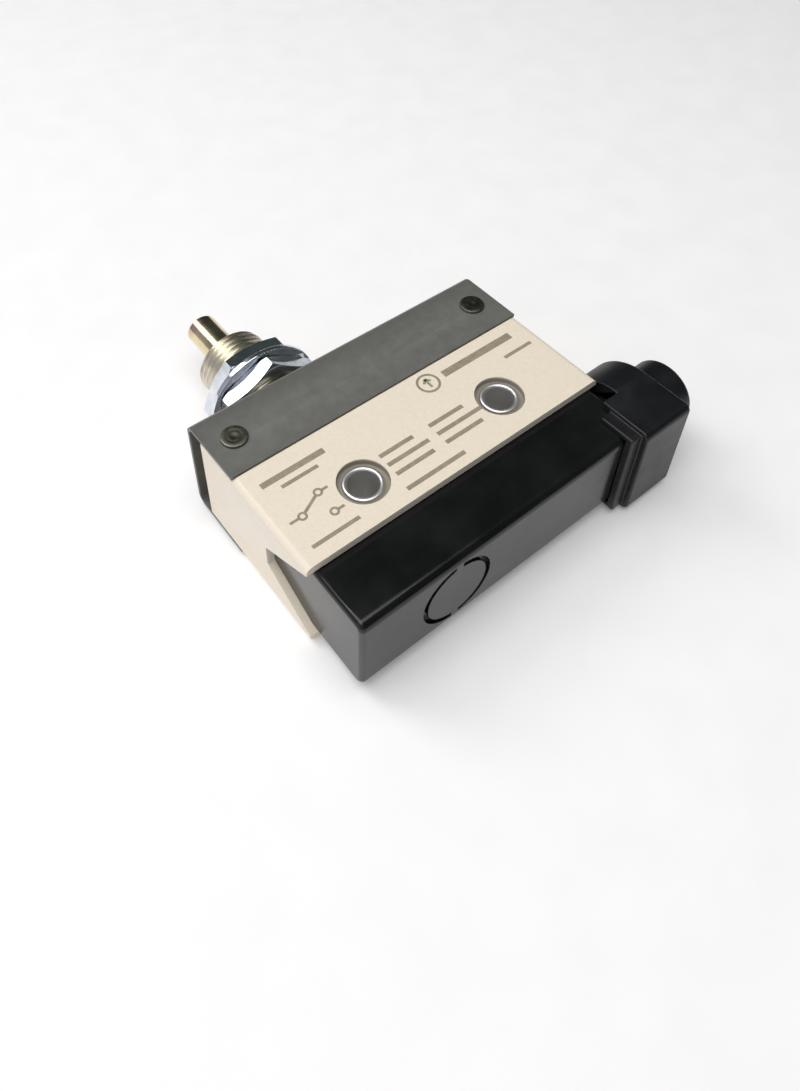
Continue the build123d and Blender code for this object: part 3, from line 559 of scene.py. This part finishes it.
def round_edges(piece, width, segments=2, sharp_from=40, wanted=None):
    """Rounds the sharp edges that pass the wanted test, and keeps flat faces flat in the shading."""
    take(piece)
    bpy.ops.object.mode_set(mode="EDIT")
    bpy.ops.mesh.select_mode(type="EDGE")
    bpy.ops.mesh.select_all(action="DESELECT")
    bpy.ops.mesh.edges_select_sharp(sharpness=math.radians(sharp_from))
    bpy.ops.object.mode_set(mode="OBJECT")
    places = [v.co for v in piece.data.vertices]
    for edge in piece.data.edges:
        if wanted is not None and not all(wanted(places[v]) for v in edge.vertices):
            edge.select = False
    bpy.ops.object.mode_set(mode="EDIT")
    bpy.ops.mesh.bevel(offset=width * MM, segments=segments, affect="EDGES", clamp_overlap=True,
                       face_strength_mode="ALL")
    bpy.ops.object.mode_set(mode="OBJECT")
    smooth(piece, 50)
    apply_modifier(piece, "WEIGHTED_NORMAL", keep_sharp=True, use_face_influence=True)


def copy_node(node, name):
    """A new mesh with a CAD node's shape, its loose triangles joined into whole faces."""
    piece = bpy.data.objects.new(name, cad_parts[node].data.copy())
    bpy.context.scene.collection.objects.link(piece)
    piece.data.materials.clear()
    take(piece)
    bpy.ops.mesh.customdata_custom_splitnormals_clear()

    def join_triangles():
        bpy.ops.mesh.remove_doubles(threshold=0.001 * MM)
        bpy.ops.mesh.dissolve_limited(angle_limit=math.radians(0.3))

    in_edit_mode(piece, join_triangles)
    return piece


def joined_pair(one, half_spacing, name):
    """Copies a piece with its own mesh to the other side, and joins the two."""
    take(one)
    bpy.ops.object.duplicate()
    bpy.ops.transform.translate(value=(-2 * half_spacing * MM, 0, 0))
    bpy.ops.object.transform_apply(location=True, rotation=False, scale=False)
    one.select_set(True)
    bpy.context.view_layer.objects.active = one
    bpy.ops.object.join()
    one.name = name
    return one


def fit(piece, body, nodes, finish):
    """Gives a finished piece its finish and its place in the frame."""
    piece.data.materials.clear()
    piece.data.materials.append(finish)
    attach(piece, body)
    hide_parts(*nodes)
    print(piece.name, "faces", len(piece.data.polygons), "on", body)
    return piece


# %% [markdown]
# ## The moulded housing
# The real housing is one injection-moulded piece, and a mould always leaves its edges
# slightly round. The CAD solid has the exact shape, so a copy of it is joined into whole
# faces and gets a small bevel on its sharp edges, rather than being modelled again. The
# rims of the holes are left crisp.

# %% Housing
SEAT_CLEARANCE, RIVET_CLEARANCE = COUNTERBORE + 0.25, 1.6
holes = [(side * MOUNT_X, 0.0, SEAT_CLEARANCE) for side in (-1, 1)]
holes += [(side * RIVET_X, RIVET_Y, RIVET_CLEARANCE) for side in (-1, 1)]
housing = copy_node("housing", "moulded_housing")
round_edges(housing, 0.15, wanted=away_from(holes))
fit(housing, "base", ["housing"], IVORY)

# %% [markdown]
# ## The folded cap
# The cap is sheet steel bent over the top and enamelled after bending. The enamel is thin
# on the cut edges, which is why they look paler. The rims of its holes are left crisp too.

# %% Cap
cap = copy_node("top_cap", "folded_cap")
BUSHING_CLEARANCE = 6.6
web_hole = [(PLUNGER_X / MM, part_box("top_cap")[1].y / MM, BUSHING_CLEARANCE)]
round_edges(cap, 0.1, wanted=away_from(holes + web_hole))
fit(cap, "base", ["top_cap"], ENAMEL)

# %% [markdown]
# ## The rivets
# Each rivet head is pressed by a cupped tool that leaves shallow rings around a small
# dimple. A turned profile gives all of it, the shank and the flush tail too. One rivet is
# made, and its copy goes to the other side.

# %% Rivets


def rivet_profile(back, sheet, front):
    """Half the outline of a rivet, from the dimple in its head to its flush tail."""
    head = front + 0.45
    return [(0, head - 0.07), (0.3, head - 0.06), (0.5, head - 0.01), (0.95, head), (1.05, head - 0.02),
            (1.15, head), (1.8, head), (1.93, head - 0.05),
            (1.98, head - 0.12), (RIVET_HEAD, head - 0.22), (RIVET_HEAD, front), (1.25, front),
            (1.25, back + sheet), (1.8, back), (0, back)]


CAP_SHEET = 0.6
cap_low, cap_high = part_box("top_cap")
rivet = turn_solid("rivet", rivet_profile(cap_low.z / MM, CAP_SHEET, cap_high.z / MM),
                   (RIVET_X * MM, RIVET_Y * MM, 0), "Z", False, 64)
rivets = joined_pair(rivet, RIVET_X, "cap_rivet_pair")
smooth(rivets, 28)
fit(rivets, "base", ["cap_rivets"], DARK_RIVET)

# %% [markdown]
# ## The mounting eyelets
# The mounting screws pull on two metal eyelets, so that the plastic isn't crushed. An
# eyelet is a short tube with a rolled lip at each end. A closed profile with a rounded lip
# is spun about the screw's axis.

# %% Eyelets
eyelet_low, eyelet_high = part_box("mounting_eyelets")
foot, head = eyelet_low.z / MM, eyelet_high.z / MM
LIP = [(0.0, 0.4), (0.03, 0.22), (0.12, 0.09), (0.25, 0.015), (0.375, 0.0), (0.5, 0.015), (0.63, 0.09),
       (0.72, 0.22), (0.75, 0.4)]
eyelet_profile = [(EYELET_INNER + across, foot + drop) for across, drop in LIP]
eyelet_profile += [(EYELET_OUTER - across, head - drop) for across, drop in LIP]
eyelet = turn_solid("eyelet", eyelet_profile, (MOUNT_X * MM, 0, 0), "Z", True, 80)
eyelets = joined_pair(eyelet, MOUNT_X, "mounting_eyelet_pair")
smooth(eyelets, 40)
fit(eyelets, "base", ["mounting_eyelets"], NICKEL)

# %% [markdown]
# ## The threaded bushing
# A thread is one ridge wound round a cylinder. A single pitch of its outline is drawn, and
# the Screw modifier sweeps it round and up at once, which keeps every turn equal. The result
# is trimmed flat at both ends, joined to the plain foot, bored for the plunger and its seal,
# and kept inside a turned envelope that gives the chamfered tip.

# %% Bushing
bush_low, bush_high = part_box("threaded_bushing")
tip, foot = bush_high.y / MM, bush_low.y / MM
web_top = cap_high.y / MM
crest, flank, root, pitch = 5.98, 5.62, 5.42, 1.0
ridge = [(root, 0.0), (root, 0.12), (flank, 0.26), (crest, 0.43),
         (crest, 0.57), (flank, 0.74), (root, 0.88), (root, pitch)]
bushing = draw_chain("threaded_bushing_turned", [(r * MM, y * MM, 0) for r, y in ridge], False)
turns = math.ceil(tip - web_top) + 2
apply_modifier(bushing, "SCREW", axis="Y", angle=2 * math.pi, screw_offset=pitch * MM, iterations=turns,
               steps=96, render_steps=96, use_merge_vertices=True, merge_threshold=0.001 * MM)
start = web_top - 1.4


def place_and_trim():
    bpy.ops.mesh.remove_doubles(threshold=0.001 * MM)
    bpy.ops.mesh.normals_make_consistent(inside=False)
    bpy.ops.transform.translate(value=(PLUNGER_X, start * MM, MID_Z))
    for height, low_side in ((web_top - 0.3, True), (tip - 0.001, False)):
        bpy.ops.mesh.select_all(action="SELECT")
        bpy.ops.mesh.bisect(plane_co=(0, height * MM, 0), plane_no=(0, 1, 0), use_fill=True,
                            threshold=0.0001 * MM, clear_inner=low_side, clear_outer=not low_side)
    bpy.ops.mesh.select_all(action="SELECT")
    bpy.ops.mesh.normals_make_consistent(inside=False)


in_edit_mode(bushing, place_and_trim)
axis_point = (PLUNGER_X, 0, MID_Z)
BODY, FLANGE, NECK = 6.0, 7.0, 5.2
flange_top = web_top - CAP_SHEET
flange_low = flange_top - 1.6
neck_top = web_top + 0.51
plain_foot = turn_solid("plain_foot", [
    (0, foot), (BODY, foot), (BODY, flange_low), (FLANGE, flange_low), (FLANGE, flange_top),
    (BODY, flange_top), (BODY, web_top + 0.03), (NECK, neck_top), (0, neck_top)], axis_point, "Y", False)
cut(bushing, plain_foot, "UNION")
envelope = turn_solid("envelope", [
    (0, foot - 1), (8.0, foot - 1), (8.0, tip - 1), (BODY, tip - 0.6), (root, tip), (0, tip)],
    axis_point, "Y", False)
cut(bushing, envelope, "INTERSECT")
CHAMBER, GUIDE, SEAL_GROOVE, MOUTH = 4.5, 2.75, 4.1, 3.0
bore = turn_solid("bore", [
    (0, foot - 1), (CHAMBER, foot - 1), (CHAMBER, tip - 2.9), (GUIDE, tip - 2.9), (GUIDE, tip - 2.0),
    (SEAL_GROOVE, tip - 2.0), (SEAL_GROOVE, tip - 0.8), (GUIDE, tip - 0.8), (GUIDE, tip - 0.25),
    (MOUTH, tip), (MOUTH, tip + 1), (0, tip + 1)],
    axis_point, "Y", False)
cut(bushing, bore, "DIFFERENCE")
smooth(bushing, 28)
fit(bushing, "base", ["threaded_bushing"], PALE_ZINC)

# %% [markdown]
# ## Nuts, washer and plunger
# These are bought-in turned and pressed parts. Their CAD solids already have the chamfered
# corners and the countersunk bores, so they are copied and only their edges are broken, as
# the tumbling barrel does before plating.

# %% Nuts, washer, plunger
for node, name, body, slot, finish, width in (
        ("inner_hex_nut", "inner_nut_plated", "inner_nut", "nut_zinc", BRIGHT_ZINC, 0.12),
        ("outer_hex_nut", "outer_nut_plated", "outer_nut", "nut_zinc", BRIGHT_ZINC, 0.12),
        ("panel_washer", "panel_washer_plated", "washer", "nut_zinc", BRIGHT_ZINC, 0.08),
        ("plunger", "plunger_turned", "plunger", "plunger_passivate", YELLOW_ZINC, 0.08)):
    piece = copy_node(node, name)
    round_edges(piece, width)
    fit(piece, body, [node], finish)

# %% [markdown]
# ## Cover and boot
# The cover is a glossy moulded tray with a knock-out in its floor, and the boot is a rubber
# sleeve pulled over its end. Both keep their CAD shape with broken edges. Rubber is softer
# than a hard moulding, so its edges are rounder.

# %% Cover and boot
cover = copy_node("terminal_cover", "glossy_cover")
round_edges(cover, 0.12)
fit(cover, "cover", ["terminal_cover"], GLOSS_BLACK)
boot = copy_node("outlet_boot", "rubber_boot")
round_edges(boot, 0.2)
fit(boot, "cover", ["outlet_boot"], BOOT_BLACK)

# %% [markdown]
# ## The printed face
# The front face carries printed marks. They are plain shapes here: a changeover contact
# symbol, a ring with an arrow for the direction of travel, and bars of even height. A print
# is a thin layer of ink, so each mark is a thin plate that stands a hair proud of the face.

# %% Printed marks
INK_HEIGHT = 0.02
ink_parts = []


def ink_bar(x, y, length, height, degrees=0.0):
    """A thin printed bar centred at x, y on the front face."""
    bpy.ops.object.select_all(action="DESELECT")
    bpy.ops.mesh.primitive_cube_add(size=1, location=(0, 0, 0))
    bar = bpy.context.object
    bpy.ops.object.mode_set(mode="EDIT")
    bpy.ops.transform.resize(value=(length * MM, height * MM, INK_HEIGHT * MM))
    if degrees:
        bpy.ops.transform.rotate(value=math.radians(degrees), orient_axis="Z", center_override=(0, 0, 0))
    bpy.ops.transform.translate(value=(x * MM, y * MM, FRONT_Z + INK_HEIGHT / 2 * MM))
    bpy.ops.object.mode_set(mode="OBJECT")
    apply_modifier(bar, "BEVEL", width=0.25 * height * MM, segments=2, limit_method="ANGLE",
                   affect="EDGES")
    ink_parts.append(bar)


def ink_ring(x, y, outer, inner):
    """A thin printed ring centred at x, y on the front face."""
    low, high = FRONT_Z / MM, FRONT_Z / MM + INK_HEIGHT
    ring = turn_solid("ring", [(inner, low), (outer, low), (outer, high), (inner, high)],
                      (x * MM, y * MM, 0), "Z", True, 48)
    ink_parts.append(ring)


ink_bar(-19.0, 7.6, 10.4, 1.0)
ink_bar(-19.0, 5.9, 6.0, 0.6)
for x, y in ((-22.4, 0.4), (-18.6, 2.3), (-18.6, -1.5)):
    ink_ring(x, y, 0.7, 0.36)
ink_bar(-23.7, 0.4, 1.4, 0.42)
ink_bar(-20.5, 1.35, 3.0, 0.45, -26.6)
ink_bar(-17.5, 2.3, 1.0, 0.42)
ink_bar(-17.5, -1.5, 1.0, 0.42)
ink_bar(-20.3, -4.2, 7.6, 0.6)
for row, (left, right) in enumerate(((6.0, 6.4), (7.4, 8.4), (6.8, 7.0))):
    y = 1.9 - 1.85 * row
    ink_bar(-8.4 + left / 2, y, left, 0.7)
    ink_bar(0.6 + right / 2, y, right, 0.7)
ink_bar(-3.6, -4.6, 10.4, 0.7)
ink_ring(6.0, 8.3, 1.9, 1.5)
ink_bar(6.0, 8.3, 0.42, 1.9)
ink_bar(6.32, 8.85, 1.0, 0.42, 50)
ink_bar(5.68, 8.85, 1.0, 0.42, -50)
ink_bar(15.9, 8.3, 14.0, 1.3)
ink_bar(21.6, 5.2, 5.6, 0.6)
take(ink_parts[0])
for part in ink_parts[1:]:
    part.select_set(True)
bpy.ops.object.join()
print_marks = bpy.context.object
print_marks.name = "printed_marks"
print_marks.data.materials.clear()
print_marks.data.materials.append(PRINT_INK)
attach(print_marks, "base")
print("printed marks, faces:", len(print_marks.data.polygons))

# %% [markdown]
# ## The pieces inside
# The switch unit, its springs, contacts and terminals are seen only when the cover is off or
# through the gaps. Their CAD shapes are right as they are, so they keep them and get their
# own finishes: phenolic for the case, copper alloy for the blade, brass for the terminals.

# %% Inner pieces
INNER = {
    "plunger_seal": SEAL_RUBBER, "cavity_seal": SEAL_RUBBER,
    "spring_seat": SPRING_STEEL, "actuator_pin": SPRING_STEEL,
    "switch_case": PHENOLIC, "switch_case_lid": PHENOLIC, "case_rivets": NICKEL,
    "switch_button": RED_PLASTIC, "actuating_tongue": COPPER_STRIP, "snap_blade": COPPER_STRIP,
    "moving_contact": SILVER, "no_contact": SILVER, "nc_contact": SILVER,
    "com_terminal": BRASS, "no_terminal": BRASS, "nc_terminal": BRASS,
    "clamp_washers": SCREW_ZINC, "terminal_screws": SCREW_ZINC}
for node, finish in INNER.items():
    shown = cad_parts[node]
    shown.data.materials.clear()
    shown.data.materials.append(finish)
print("inner pieces finished:", len(INNER))

# %% [markdown]
# ## The springs
# The two springs get shorter as the plunger goes in. Each copy here stays rigid: it gets its
# own mesh and smooth shading, the return spring on the base and the overtravel spring on the
# plunger. Its fixed end, its length and its shortening from the plunger's travel are listed but not used.

# %% Springs
PLUNGER_TRAVEL = 4.5 * MM
BUTTON_SHARE = 0.24
return_low, return_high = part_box("return_spring")
over_low, over_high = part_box("overtravel_spring")
for node, body, fixed_y, length, shortening in (
        ("return_spring", "base", return_low.y, return_high.y - return_low.y, PLUNGER_TRAVEL),
        ("overtravel_spring", "plunger", over_high.y, over_high.y - over_low.y,
         PLUNGER_TRAVEL * (1 - BUTTON_SHARE))):
    spring = copy_node(node, node + "_wound")
    smooth(spring, 50)
    fit(spring, body, [node], SPRING_STEEL)
    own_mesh(spring)
